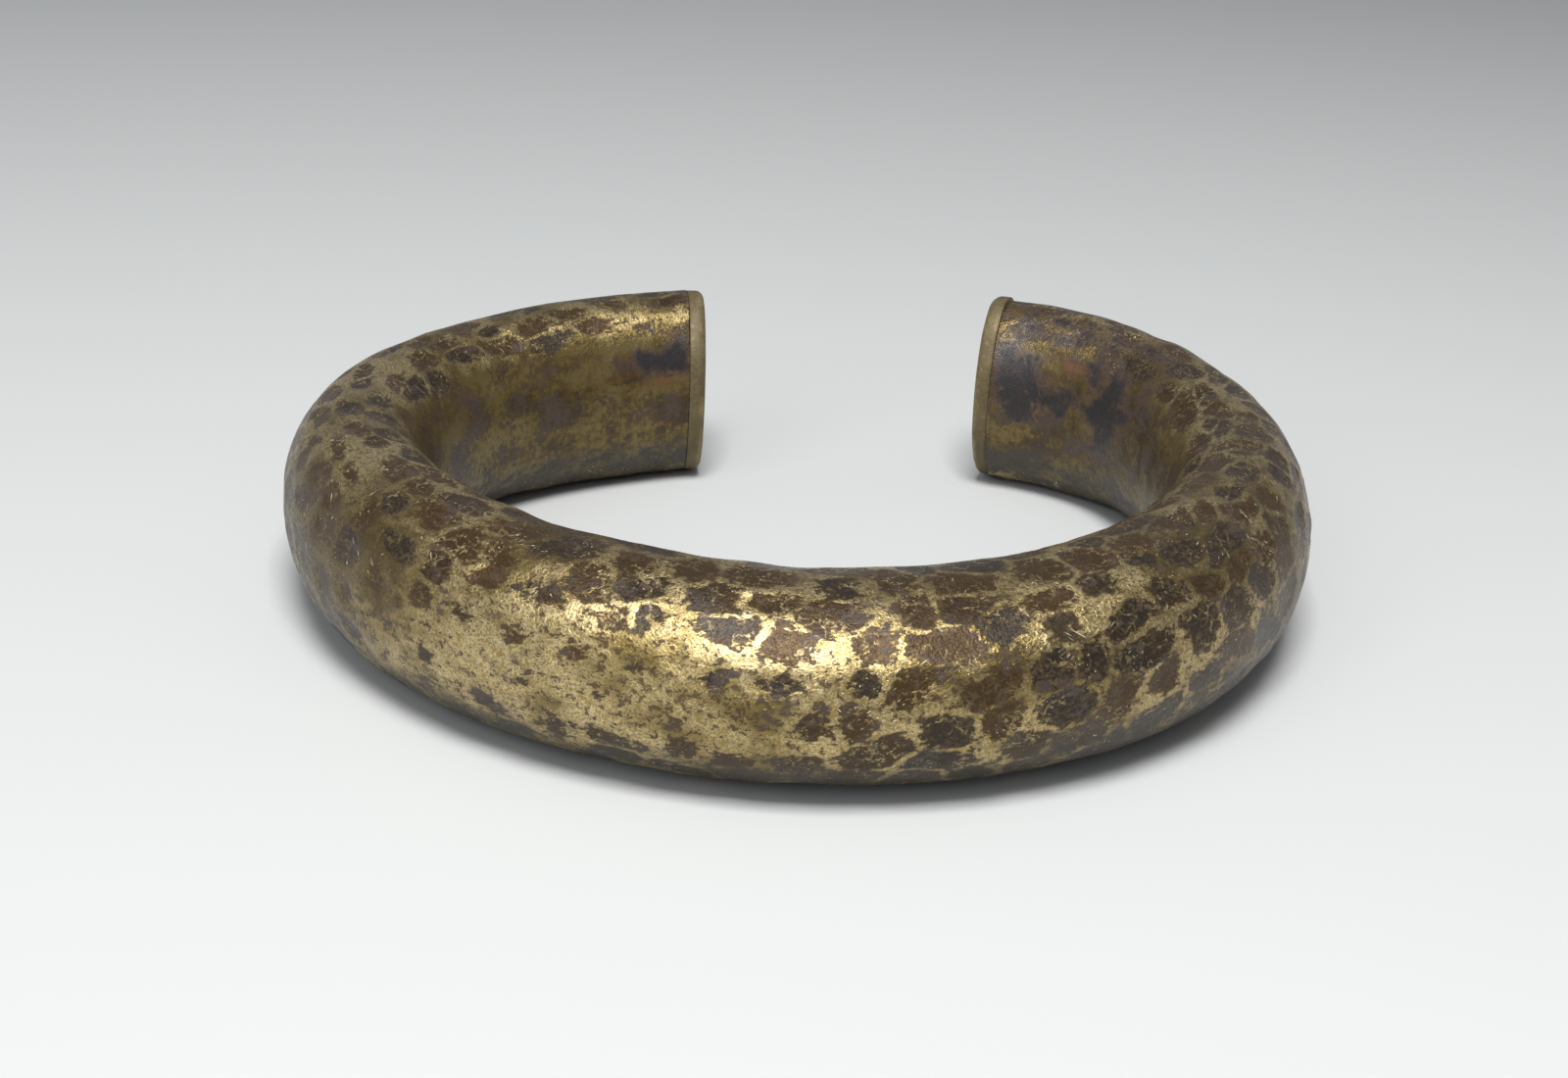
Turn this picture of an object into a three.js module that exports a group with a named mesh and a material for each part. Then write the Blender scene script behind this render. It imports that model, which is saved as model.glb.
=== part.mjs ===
import * as THREE from 'three';

// An open bangle. A heavy oval tube of hammered brass is bent into a C, and each end of the tube
// is closed by a flat plate. It lies on its side: the bow is towards -Y, the mouth towards +Y.
// Lengths are in millimetres, angles in degrees, and +Z is up.

// ---- Bend of the tube's centreline ------------------------------------------------------------
// From the middle of the bow each side runs through three arcs: the wide bow, a tighter shoulder,
// and the arm that ends at the mouth. The bangle was bent by hand, so its sides differ.
const BOW_RADIUS = 36.6;

const LEFT_BOW_SWEEP = 85;
const LEFT_SHOULDER_RADIUS = 24.3;
const LEFT_SHOULDER_SWEEP = 64.5;
const LEFT_ARM_RADIUS = 48.5;
const LEFT_ARM_SWEEP = 24.7;

const RIGHT_BOW_SWEEP = 99.5;
const RIGHT_SHOULDER_RADIUS = 20.5;
const RIGHT_SHOULDER_SWEEP = 53.5;
const RIGHT_ARM_RADIUS = 34.5;
const RIGHT_ARM_SWEEP = 0.5;

// Half the length over which one arc eases into the next.
const EASE_LENGTH = 6;

// ---- Section of the tube ----------------------------------------------------------------------
// Width is measured across the ring, height along Z. The waist lies on each side between the
// middle of the bow and the end, at this share of the way.
const BOW_WIDTH = 16.8;
const BOW_HEIGHT = 14.8;
const WAIST_WIDTH = 12.3;
const WAIST_HEIGHT = 16.3;
const END_WIDTH = 11.6;
const END_HEIGHT = 17.5;
const WAIST_SHARE = 0.55;

// Exponent of the section's outline: 2 is an ellipse, and more is fuller at the corners.
const SECTION_FULLNESS = 2.1;
const WALL = 1.4;

// ---- Ends -------------------------------------------------------------------------------------
// A positive cut leaves the outer side of the tube longer, so that the end looks into the ring.
// The slant of the cut fades out of the tube's sections over the run.
const LEFT_END_CUT = 12;
const RIGHT_END_CUT = -3;
const CUT_RUN = 8;

const PLATE_THICKNESS = 1.2;
// The solder seam between the tube and a plate.
const SEAM = 0.3;
// The right plate was soldered on a little high, so its top edge stands proud of the tube.
const RIGHT_PLATE_LIFT = 0.35;

// ---- Fineness of the faceted surfaces ---------------------------------------------------------
const STEP_LENGTH = 3;
const SIDES = 24;

const WORN_BRASS = { color: 0x7d6a42, roughness: 0.42, metalness: 0.95 };
const RUBBED_BRASS = { color: 0xa8935c, roughness: 0.36, metalness: 1 };

const { degToRad, lerp, smoothstep } = THREE.MathUtils;

/** The lengths and the curvature of one side of the bend, measured from the middle of the bow. */
function bendSide(bowSweep, shoulderRadius, shoulderSweep, armRadius, armSweep) {
  const shoulderStart = BOW_RADIUS * degToRad(bowSweep);
  const armStart = shoulderStart + shoulderRadius * degToRad(shoulderSweep);
  const length = armStart + armRadius * degToRad(armSweep);
  const curvatureAt = (along) => {
    const intoShoulder = smoothstep(along, shoulderStart - EASE_LENGTH, shoulderStart + EASE_LENGTH);
    const intoArm = smoothstep(along, armStart - EASE_LENGTH, armStart + EASE_LENGTH);
    return lerp(lerp(1 / BOW_RADIUS, 1 / shoulderRadius, intoShoulder), 1 / armRadius, intoArm);
  };
  return { length, curvatureAt };
}

/** Walks the centreline of one side in equal steps, as if it were the right-hand side. */
function walkSide(side) {
  const stepCount = Math.ceil(side.length / STEP_LENGTH);
  const step = side.length / stepCount;
  const places = [{ x: 0, y: 0, heading: 0, share: 0, toEnd: side.length }];
  for (let i = 1; i <= stepCount; i += 1) {
    const last = places[i - 1];
    const turn = side.curvatureAt((i - 0.5) * step) * step;
    const chordHeading = last.heading + turn / 2;
    places.push({
      x: last.x + step * Math.cos(chordHeading),
      y: last.y + step * Math.sin(chordHeading),
      heading: last.heading + turn,
      share: i / stepCount,
      toEnd: side.length - i * step,
    });
  }
  return places;
}

/** A size of the section at a share of the way from the bow to an end. */
function sectionSize(share, atBow, atWaist, atEnd) {
  const toWaist = smoothstep(share, 0, WAIST_SHARE);
  const toEnd = smoothstep(share, WAIST_SHARE, 1);
  return lerp(lerp(atBow, atWaist, toWaist), atEnd, toEnd);
}

/** A section of the tube at one place: its middle, its directions, its half sizes and its slant. */
function makeSection(place, slantAtEnd) {
  const halfHeight = sectionSize(place.share, BOW_HEIGHT, WAIST_HEIGHT, END_HEIGHT) / 2;
  return {
    middle: new THREE.Vector3(place.x, place.y, halfHeight),
    forward: new THREE.Vector3(Math.cos(place.heading), Math.sin(place.heading), 0),
    outward: new THREE.Vector3(Math.sin(place.heading), -Math.cos(place.heading), 0),
    halfWidth: sectionSize(place.share, BOW_WIDTH, WAIST_WIDTH, END_WIDTH) / 2,
    halfHeight,
    slant: slantAtEnd * Math.max(0, 1 - place.toEnd / CUT_RUN),
  };
}

/** The tube's sections in order, from the left end over the bow to the right end. */
function tubeSections() {
  const left = bendSide(
    LEFT_BOW_SWEEP, LEFT_SHOULDER_RADIUS, LEFT_SHOULDER_SWEEP, LEFT_ARM_RADIUS, LEFT_ARM_SWEEP,
  );
  const right = bendSide(
    RIGHT_BOW_SWEEP, RIGHT_SHOULDER_RADIUS, RIGHT_SHOULDER_SWEEP, RIGHT_ARM_RADIUS, RIGHT_ARM_SWEEP,
  );
  const leftSlant = -Math.tan(degToRad(LEFT_END_CUT));
  const rightSlant = Math.tan(degToRad(RIGHT_END_CUT));
  const leftSections = walkSide(left)
    .map((place) => ({ ...place, x: -place.x, heading: -place.heading }))
    .map((place) => makeSection(place, leftSlant))
    .reverse();
  const rightSections = walkSide(right).map((place) => makeSection(place, rightSlant));
  return [...leftSections, ...rightSections.slice(1)];
}

/** A point on the unit outline of the section: x runs outwards and y runs up. */
function outlinePoint(index) {
  const angle = (2 * Math.PI * index) / SIDES;
  const fuller = (value) => Math.sign(value) * Math.abs(value) ** (2 / SECTION_FULLNESS);
  return new THREE.Vector2(fuller(Math.cos(angle)), fuller(Math.sin(angle)));
}

/** The ring of points around one section, drawn in from the outside by the inset. */
function sectionRing(section, inset) {
  return Array.from({ length: SIDES }, (_, index) => {
    const point = outlinePoint(index);
    const out = point.x * (section.halfWidth - inset);
    return section.middle.clone()
      .addScaledVector(section.outward, out)
      .addScaledVector(section.forward, out * section.slant)
      .setZ(section.middle.z + point.y * (section.halfHeight - inset));
  });
}

/** The tube: an outer skin, a bore inside it, and a flat rim that joins them at each end. */
function tubeGeometry(sections) {
  const rings = [...sections.map((section) => sectionRing(section, 0)),
    ...sections.map((section) => sectionRing(section, WALL))];
  const faces = [];
  const bridge = (ringA, ringB) => {
    const startA = ringA * SIDES;
    const startB = ringB * SIDES;
    for (let side = 0; side < SIDES; side += 1) {
      const next = (side + 1) % SIDES;
      faces.push(startA + side, startB + side, startA + next);
      faces.push(startB + side, startB + next, startA + next);
    }
  };
  const last = sections.length - 1;
  const bore = sections.length;
  for (let ring = 0; ring < last; ring += 1) {
    bridge(ring, ring + 1);
    bridge(bore + ring + 1, bore + ring);
  }
  bridge(bore, 0);
  bridge(last, bore + last);
  const geometry = new THREE.BufferGeometry().setFromPoints(rings.flat());
  geometry.setIndex(faces);
  geometry.computeVertexNormals();
  return geometry;
}

/**
 * A flat plate with the outline of the tube's cut end, standing off it by the seam. The tube runs
 * forward from its left end to its right end, so outOfTube is -1 at the left end and 1 at the right.
 */
function endPlate(name, section, outOfTube, lift) {
  const up = new THREE.Vector3(0, 0, 1);
  const across = section.outward.clone().addScaledVector(section.forward, section.slant);
  const normal = up.clone().cross(across).normalize().multiplyScalar(outOfTube);
  const stretch = across.length();
  const outline = Array.from({ length: SIDES }, (_, index) => {
    const point = outlinePoint(index);
    return new THREE.Vector2(point.x * section.halfWidth * stretch, point.y * section.halfHeight);
  });
  const geometry = new THREE.ExtrudeGeometry(new THREE.Shape(outline), {
    depth: PLATE_THICKNESS,
    bevelEnabled: false,
  });

  const plate = new THREE.Mesh(geometry, new THREE.MeshStandardMaterial(RUBBED_BRASS));
  plate.name = name;
  const sideways = up.clone().cross(normal);
  plate.quaternion.setFromRotationMatrix(new THREE.Matrix4().makeBasis(sideways, up, normal));
  plate.position.copy(section.middle).addScaledVector(normal, SEAM).addScaledVector(up, lift);
  return plate;
}

const sections = tubeSections();
const tube = new THREE.Mesh(tubeGeometry(sections), new THREE.MeshStandardMaterial(WORN_BRASS));
tube.name = 'hammered_tube';

const bangle = new THREE.Group();
bangle.add(
  tube,
  endPlate('left_end_plate', sections[0], -1, 0),
  endPlate('right_end_plate', sections[sections.length - 1], 1, RIGHT_PLATE_LIFT),
);

// The origin is at the bottom of the bangle, under the middle of its box.
bangle.updateMatrixWorld(true);
const box = new THREE.Box3().setFromObject(bangle, true);
const middle = box.getCenter(new THREE.Vector3());
bangle.position.set(-middle.x, -middle.y, -box.min.z);

export default bangle;
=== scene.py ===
import logging
import math
from dataclasses import dataclass, field
from enum import Enum
from typing import Any, Union

import bmesh
import bpy
import numpy as np
from mathutils import Matrix, Vector


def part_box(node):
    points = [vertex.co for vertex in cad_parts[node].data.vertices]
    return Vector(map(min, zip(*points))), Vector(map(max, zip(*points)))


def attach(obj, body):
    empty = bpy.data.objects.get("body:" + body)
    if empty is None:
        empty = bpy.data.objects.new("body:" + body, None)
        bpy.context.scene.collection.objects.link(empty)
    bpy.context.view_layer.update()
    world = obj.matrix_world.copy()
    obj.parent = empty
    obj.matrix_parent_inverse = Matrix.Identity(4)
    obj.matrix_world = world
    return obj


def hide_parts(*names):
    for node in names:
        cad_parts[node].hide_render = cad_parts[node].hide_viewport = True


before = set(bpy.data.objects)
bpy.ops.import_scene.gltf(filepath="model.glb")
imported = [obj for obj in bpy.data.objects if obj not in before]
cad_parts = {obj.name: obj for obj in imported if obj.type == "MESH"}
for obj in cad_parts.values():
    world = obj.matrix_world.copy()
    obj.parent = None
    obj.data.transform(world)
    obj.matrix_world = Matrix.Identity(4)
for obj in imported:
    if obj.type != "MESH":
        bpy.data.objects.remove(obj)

log = logging.getLogger("bangle")

MM = 0.001
TURN = 2.0 * math.pi

Array = np.ndarray
Span = tuple[float, float]
Colour = tuple[float, float, float]
Place = tuple[float, float, float]


# ---- Small helpers ----


def lerp(low: Any, high: Any, share: Any) -> Any:
    """Returns the value at a share of the way from low to high."""
    return low + (high - low) * share


def smoothstep(value: Any, low: Any, high: Any) -> Array:
    """Eases from 0 to 1 as value goes from low to high.

    Args:
        value: a number or an array of them.
        low: where the rise starts.
        high: where the rise ends.

    Returns:
        The eased values.
    """
    share = np.clip((value - low) / (high - low), 0.0, 1.0)
    return share * share * (3.0 - 2.0 * share)


def unit(vectors: Array) -> Array:
    """Returns the vectors with a length of 1."""
    return vectors / np.linalg.norm(vectors, axis=-1, keepdims=True)


def rgba(colour: Colour) -> tuple[float, float, float, float]:
    """Returns the colour with full opacity."""
    return (*colour, 1.0)


# ---- Shader building ----


class Value:
    """An output socket that takes part in Python arithmetic and adds the Math nodes it needs."""

    def __init__(self, shader: "Shader", socket: bpy.types.NodeSocket | None) -> None:
        """Keeps the shader and the socket, which is None for a node without outputs."""
        self.shader = shader
        self.socket = socket

    def _math(self, operation: str, first: "Number", second: "Number") -> "Value":
        """Adds one Math node."""
        return self.shader.node("ShaderNodeMath", {"operation": operation}, {0: first, 1: second})

    def __add__(self, other: "Number") -> "Value":
        """Adds."""
        return self._math("ADD", self, other)

    def __sub__(self, other: "Number") -> "Value":
        """Subtracts."""
        return self._math("SUBTRACT", self, other)

    def __rsub__(self, other: "Number") -> "Value":
        """Subtracts, reflected."""
        return self._math("SUBTRACT", other, self)

    def __mul__(self, other: "Number") -> "Value":
        """Multiplies."""
        return self._math("MULTIPLY", self, other)

    __radd__ = __add__
    __rmul__ = __mul__

    def clamp(self) -> "Value":
        """Keeps the value between 0 and 1."""
        return self.shader.node("ShaderNodeClamp", inputs={"Value": self})

    def rise(self, low: float, high: float) -> "Value":
        """Eases from 0 to 1 as the value goes from low to high.

        Args:
            low: where the rise starts.
            high: where the rise ends; below low, the result falls instead.

        Returns:
            The eased value.
        """
        settings = {"interpolation_type": "SMOOTHSTEP"}
        inputs = {"Value": self, "From Min": low, "From Max": high, "To Min": 0.0, "To Max": 1.0}
        if high < low:
            inputs.update({"From Min": high, "From Max": low, "To Min": 1.0, "To Max": 0.0})
        return self.shader.node("ShaderNodeMapRange", settings, inputs)


Number = Union[float, Value]


class Shader:
    """A material's node tree, filled in by expressions on its values."""

    def __init__(self, name: str) -> None:
        """Makes an empty material with the given name."""
        self.material = bpy.data.materials.new(name)
        self.material.use_nodes = True
        self.tree = self.material.node_tree
        self.tree.nodes.clear()

    def node(
        self,
        kind: str,
        settings: dict[str, Any] | None = None,
        inputs: dict[str | int, Any] | None = None,
        output: str | int = 0,
    ) -> Value:
        """Adds a node, with its settings first and then its sockets.

        Args:
            kind: the node's type.
            settings: its properties by name.
            inputs: values or links of its sockets, by name or by number.
            output: the output that is wanted.

        Returns:
            That output.
        """
        made = self.tree.nodes.new(kind)
        for key, value in (settings or {}).items():
            setattr(made, key, value)
        for key, value in (inputs or {}).items():
            if isinstance(value, Value):
                self.tree.links.new(value.socket, made.inputs[key])
            else:
                made.inputs[key].default_value = value
        return Value(self, made.outputs[output] if made.outputs else None)

    def attribute(self, name: str) -> Value:
        """Reads a number that the mesh carries."""
        return self.node("ShaderNodeAttribute", {"attribute_name": name}, output="Fac")

    def attribute_vector(self, name: str) -> Value:
        """Reads a vector that the mesh carries."""
        return self.node("ShaderNodeAttribute", {"attribute_name": name}, output="Vector")

    def noise(self, where: Value, scale: float, detail: float = 2.0, rough: float = 0.5) -> Value:
        """Returns a noise about 0.5 at a place.

        Args:
            where: the place, in millimetres.
            scale: features for each millimetre.
            detail: octaves of finer noise.
            rough: how strong the finer octaves are.

        Returns:
            The noise, between 0 and 1.
        """
        inputs = {"Vector": where, "Scale": scale, "Detail": detail, "Roughness": rough}
        return self.node("ShaderNodeTexNoise", {"normalize": True}, inputs)

    def stretch(self, where: Value, factors: Place, angles: Place = (0.0, 0.0, 0.0)) -> Value:
        """Turns a place and then scales it along the axes.

        Args:
            where: the place.
            factors: the scale along each axis after the turn.
            angles: the turn about each axis, in degrees.

        Returns:
            The new place.
        """
        inputs = {"Vector": where, "Rotation": tuple(math.radians(angle) for angle in angles)}
        turned = self.node("ShaderNodeVectorRotate", {"rotation_type": "EULER_XYZ"}, inputs)
        return self.node("ShaderNodeVectorMath", {"operation": "MULTIPLY"}, {0: turned, 1: factors})

    def blend(self, share: Number, first: Any, second: Any) -> Value:
        """Mixes two colours.

        Args:
            share: how much of the second one there is.
            first: a colour or a link to one.
            second: a colour or a link to one.

        Returns:
            The mixed colour.
        """
        first = rgba(first) if isinstance(first, tuple) else first
        second = rgba(second) if isinstance(second, tuple) else second
        settings = {"data_type": "RGBA", "clamp_factor": True}
        return self.node("ShaderNodeMix", settings, {0: share, 6: first, 7: second}, 2)

    def bump(self, height: Value) -> Value:
        """Returns the normal that a height in millimetres gives."""
        inputs = {"Height": height, "Distance": MM, "Strength": 1.0}
        return self.node("ShaderNodeBump", inputs=inputs)

    def surface(self, **sockets: Any) -> bpy.types.Material:
        """Ends the tree with a Principled surface.

        Args:
            **sockets: values or links of its sockets, with _ for a blank.

        Returns:
            The finished material.
        """
        inputs = {key.replace("_", " "): value for key, value in sockets.items()}
        principled = self.node("ShaderNodeBsdfPrincipled", inputs=inputs)
        self.node("ShaderNodeOutputMaterial", inputs={"Surface": principled})
        return self.material


# ---- Finishes ----


@dataclass
class TubeState:
    """What the tube's mesh says about a point of its surface."""

    mark: Value
    gap: Value
    tone: Value
    wear: Value
    pitted: Value
    stain: Value
    rust: Value
    dulled: Value
    sheltered: Value
    below: Value

    @classmethod
    def read(cls, sh: Shader) -> "TubeState":
        """Reads the numbers of the mesh, by the names of the fields."""
        return cls(*(sh.attribute(name) for name in cls.__dataclass_fields__))


@dataclass
class Grain:
    """The unevenness of old metal, as noises about 0.5, from the broadest to the finest."""

    broad: Value
    clouds: Value
    cloudy: Value
    crumb: Value
    fibre: Value
    streak: Value
    grit: Value

    @classmethod
    def read(cls, sh: Shader, lay: Value) -> "Grain":
        """Makes the noises at a place in the straightened metal."""
        return cls(
            broad=sh.noise(lay, 0.1, 3.0),
            clouds=sh.noise(sh.stretch(lay, (0.16, 0.3, 0.3)), 1.0, 6.0, 0.66),
            cloudy=sh.noise(lay, 0.42, 4.0, 0.6),
            crumb=sh.noise(lay, 1.7, 6.0, 0.68),
            fibre=sh.noise(sh.stretch(lay, (0.8, 3.0, 3.0), (0.0, 18.0, 12.0)), 1.0, 4.0, 0.6),
            streak=sh.noise(sh.stretch(lay, (0.12, 2.2, 2.2)), 1.0, 4.0, 0.6),
            grit=sh.noise(lay, 5.0, 3.0, 0.65),
        )


@dataclass(frozen=True)
class HammeredBrass:
    """Old brass, dark in the hammer marks and rubbed pale on the ridges between them."""

    pale: Colour = (0.68, 0.55, 0.31)
    ochre: Colour = (0.34, 0.245, 0.092)
    olive: Colour = (0.17, 0.121, 0.037)
    film: Colour = (0.088, 0.056, 0.017)
    mark_brown: Colour = (0.056, 0.03, 0.0095)
    mark_slate: Colour = (0.028, 0.021, 0.015)
    grime_and_shade: Colour = (0.045, 0.041, 0.031)
    # grey of the painted shade and reflection on the lower side, also used in the darker patches
    wall_brown: Colour = (0.046, 0.029, 0.017)
    wall_olive: Colour = (0.17, 0.13, 0.052)
    heat_brown: Colour = (0.055, 0.034, 0.026)
    heat_slate: Colour = (0.016, 0.015, 0.0165)
    stain_orange: Colour = (0.14, 0.062, 0.02)
    fresh: Colour = (0.8, 0.69, 0.45)
    oxide_gloss: float = 1.5

    def material(self) -> bpy.types.Material:
        """Builds the material of the tube.

        Returns:
            The material.
        """
        sh = Shader("hammered_brass")
        lay = sh.attribute_vector("lay")
        state = TubeState.read(sh)
        grain = Grain.read(sh, lay)
        clouds, cloudy, crumb, grit = grain.clouds, grain.cloudy, grain.crumb, grain.grit
        sheltered = state.sheltered

        skin = self._skin(state, grain)
        veins = self._veins(sh, lay)
        specks = crumb * 0.6 + grit * 0.4 + state.pitted * 0.035 - sheltered * 0.04
        specks = specks.rise(0.54, 0.56)
        tarnish = self._tarnish(state, grain)
        brass = self._brass(sh, state, grain, tarnish)
        colour = sh.blend(skin, brass, self._oxide(sh, state, grain))
        colour = sh.blend(veins * (0.75 - state.wear * 0.3), colour, brass)
        colour = sh.blend(specks * 0.85, colour, self.mark_brown)

        patina = clouds + (crumb - 0.5) * 0.35 + (grit - 0.5) * 0.15
        colour = sh.blend(patina.rise(0.46, 0.36) * sheltered * 0.6, colour, self.wall_olive)
        colour = sh.blend(patina.rise(0.43, 0.57) * sheltered * 0.85, colour, self.wall_brown)

        # grey-brown film: mostly painted shade and reflection on the lower side, plus the darker
        # patches
        grime_and_shade = self._grime_and_shade(state, grain)
        colour = sh.blend(grime_and_shade * 0.8, colour, self.grime_and_shade)
        blotch = (clouds - 0.5) * 2.2 + (cloudy - 0.5) * 2.0 + (crumb - 0.5) * 1.3
        scorched = (state.stain + blotch).rise(0.15, 0.6)
        stained = (state.stain + blotch).rise(0.5, 1.05)
        rusty = state.rust + (grain.streak - 0.5) * 1.6 + (crumb - 0.5) * 1.2
        colour = sh.blend(scorched * 0.7, colour, self.heat_brown)
        colour = sh.blend(stained * 0.9, colour, self.heat_slate)
        colour = sh.blend(rusty.rise(0.3, 0.9) * 0.65, colour, self.stain_orange)

        scratches = self._scratches(sh, lay) * (1.0 - sheltered * 0.9)
        colour = sh.blend(scratches * (1.0 - stained * 0.8) * 0.75, colour, self.fresh)

        hidden = skin * 0.4 + specks * 0.3 + scorched * 0.6 + tarnish * 0.15 + sheltered * 0.35
        roughness = 0.33 + (crumb - 0.5) * 0.3 + (grit - 0.5) * 0.45 + grime_and_shade * 0.22
        height = (crumb - 0.5) * 0.07 + (grit - 0.5) * 0.06 + (cloudy - 0.5) * 0.05
        height = height + veins * 0.008 - skin * 0.02 - specks * 0.03 - scratches * 0.012
        return sh.surface(
            Base_Color=colour,
            Metallic=0.92 - (hidden + grime_and_shade * 0.6).clamp() * 0.85,
            Roughness=roughness,
            IOR=self.oxide_gloss,
            Normal=sh.bump(height * (1.0 - sheltered * 0.4)),
        )

    @staticmethod
    def _skin(state: TubeState, grain: Grain) -> Value:
        """Returns where the dark skin lies: in the marks, ragged at the border, less where worn."""
        ragged = (grain.crumb - 0.5) * 1.7 + (grain.fibre - 0.5) * 1.1
        ragged = ragged + (grain.cloudy - 0.5) * 1.2 + (grain.grit - 0.5) * 0.9
        in_mark = state.mark + 0.12 + ragged + (grain.clouds - 0.5) * 1.4
        in_mark = (in_mark - state.wear * 0.7 - state.pitted * 0.5).rise(-0.08, 0.18)
        off_ridge = (state.gap * 1.5 + ragged * 0.6 - state.wear * 0.2).rise(0.12, 0.4)
        return in_mark * off_ridge

    @staticmethod
    def _tarnish(state: TubeState, grain: Grain) -> Value:
        """Returns where a thin film dulls the bare metal."""
        tarnish = grain.broad * 0.4 + grain.crumb * 0.7 + grain.grit * 0.3
        tarnish = tarnish + state.sheltered * 0.1 - state.wear * 0.1 + state.dulled * 0.2
        return (tarnish - state.pitted * 0.09).rise(0.66, 0.83)

    @staticmethod
    def _grime_and_shade(state: TubeState, grain: Grain) -> Value:
        """Returns the grey film: painted shade and reflection below, plus the darker patches."""
        grime_and_shade = state.below * 0.7 + state.sheltered * state.below * 0.2 + state.dulled * 0.25
        grime_and_shade = grime_and_shade + (grain.clouds - 0.5) * 1.7 + (grain.crumb - 0.5) * 0.8
        return grime_and_shade.rise(0.2, 0.9)

    def _brass(self, sh: Shader, state: TubeState, grain: Grain, tarnish: Value) -> Value:
        """Returns the colour of the bare metal, pale on its grain and olive where it is dull."""
        ridge = (grain.grit * 0.6 + grain.crumb * 0.4 - state.sheltered * 0.06).rise(0.43, 0.55)
        # below adds a little painted shade: the lower side turns more olive
        dull = grain.cloudy + grain.broad - 0.4 + state.sheltered * 0.6 + state.below * 0.15
        brass = sh.blend(ridge, self.ochre, self.pale)
        brass = sh.blend(dull.rise(0.42, 0.95), brass, self.olive)
        return sh.blend(tarnish * 0.8, brass, self.film)

    def _oxide(self, sh: Shader, state: TubeState, grain: Grain) -> Value:
        """Returns the colour of the dark skin, brown in some marks and slate in others."""
        slate = (state.tone + grain.broad - 0.5 + (grain.cloudy - 0.5)).rise(0.35, 0.95)
        mottle = (grain.fibre - 0.5) + (grain.grit - 0.5) * 1.6 + (grain.crumb - 0.5)
        dark = sh.blend(slate, self.mark_brown, self.mark_slate)
        return sh.blend(mottle.rise(0.0, 0.22) * 0.7, dark, self.film)

    @staticmethod
    def _veins(sh: Shader, lay: Value) -> Value:
        """Returns where thin curling threads of bare metal run."""
        inputs = {"Vector": lay, "Scale": 1.1, "Detail": 3.0, "Roughness": 0.6}
        drift = sh.node("ShaderNodeTexNoise", {"normalize": True}, inputs, "Color")
        inputs = {0: drift, 1: (1.6, 1.6, 1.6), 2: lay}
        bent = sh.node("ShaderNodeVectorMath", {"operation": "MULTIPLY_ADD"}, inputs)
        inputs = {"Vector": bent, "Scale": 0.8, "Randomness": 1.0}
        edges = sh.node("ShaderNodeTexVoronoi", {"feature": "DISTANCE_TO_EDGE"}, inputs)
        thin = edges.rise(0.1, 0.02)
        groups = sh.noise(lay, 0.6, 3.0, 0.6).rise(0.42, 0.6)
        broken = sh.noise(lay, 3.2, 2.0).rise(0.4, 0.55)
        return thin * groups * broken

    @staticmethod
    def _scratches(sh: Shader, lay: Value) -> Value:
        """Returns where fine bright scratches run, in loose groups of three directions."""
        total = None
        directions = ((0.0, 32.0, 24.0), (10.0, -38.0, -30.0), (0.0, 64.0, 50.0))
        for number, angles in enumerate(directions):
            lines = sh.noise(sh.stretch(lay, (0.45, 7.0, 7.0), angles), 1.0, 1.0)
            elsewhere = sh.stretch(lay, (1.0, 1.0, 1.0), (0.0, 90.0 * number, 0.0))
            group = lines.rise(0.69, 0.745) * sh.noise(elsewhere, 0.3).rise(0.53, 0.65)
            total = group if total is None else total + group
        return total.clamp()


@dataclass(frozen=True)
class PlateBrass:
    """The end plates: filed flat, rubbed bright at the rim and tarnished on the face."""

    pale: Colour = (0.38, 0.3, 0.155)
    ochre: Colour = (0.2, 0.15, 0.062)
    film: Colour = (0.062, 0.044, 0.019)

    def material(self) -> bpy.types.Material:
        """Builds the material of the plates.

        Returns:
            The material.
        """
        sh = Shader("plate_brass")
        lay = sh.attribute_vector("lay")
        rim = sh.attribute("rim")
        cloudy = sh.noise(lay, 0.35, 4.0, 0.6)
        crumb = sh.noise(lay, 1.8, 6.0, 0.68)
        filed = sh.noise(sh.stretch(lay, (0.35, 9.0, 9.0), (0.0, 0.0, 28.0)), 1.0, 3.0, 0.6)
        brass = sh.blend((crumb * 0.6 + filed * 0.4).rise(0.42, 0.6), self.ochre, self.pale)
        tarnish = (cloudy * 0.7 + crumb * 0.6 - rim * 0.16).rise(0.38, 0.62)
        colour = sh.blend(tarnish * 0.78, brass, self.film)
        height = (filed - 0.5) * 0.03 + (crumb - 0.5) * 0.04 - tarnish * 0.01
        return sh.surface(
            Base_Color=colour,
            Metallic=0.7 - tarnish * 0.4,
            Roughness=0.44 + (crumb - 0.5) * 0.3 + tarnish * 0.12,
            Normal=sh.bump(height),
        )


@dataclass(frozen=True)
class PaleFloor:
    """A plain pale matt floor."""

    pale: Colour = (0.5, 0.505, 0.5)
    roughness: float = 0.85

    def material(self) -> bpy.types.Material:
        """Builds the material of the floor."""
        sh = Shader("pale_floor")
        return sh.surface(Base_Color=rgba(self.pale), Roughness=self.roughness)


# ---- The bar's form ----


@dataclass
class Course:
    """The centreline as arrays, one value for each station, in millimetres and radians."""

    along: Array
    x: Array
    y: Array
    heading: Array
    share: Array
    to_end: Array
    curvature: Array

    def mirrored(self) -> "Course":
        """Returns the same course on the left, from its end to the middle of the bow."""
        arrays = (-self.along, -self.x, self.y, -self.heading, self.share, self.to_end)
        return Course(*(array[::-1] for array in (*arrays, self.curvature)))

    def joined(self, other: "Course") -> "Course":
        """Returns this course and then the other, which starts at this one's last station."""
        pairs = zip(vars(self).values(), vars(other).values())
        return Course(*(np.concatenate([first, second[1:]]) for first, second in pairs))


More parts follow.
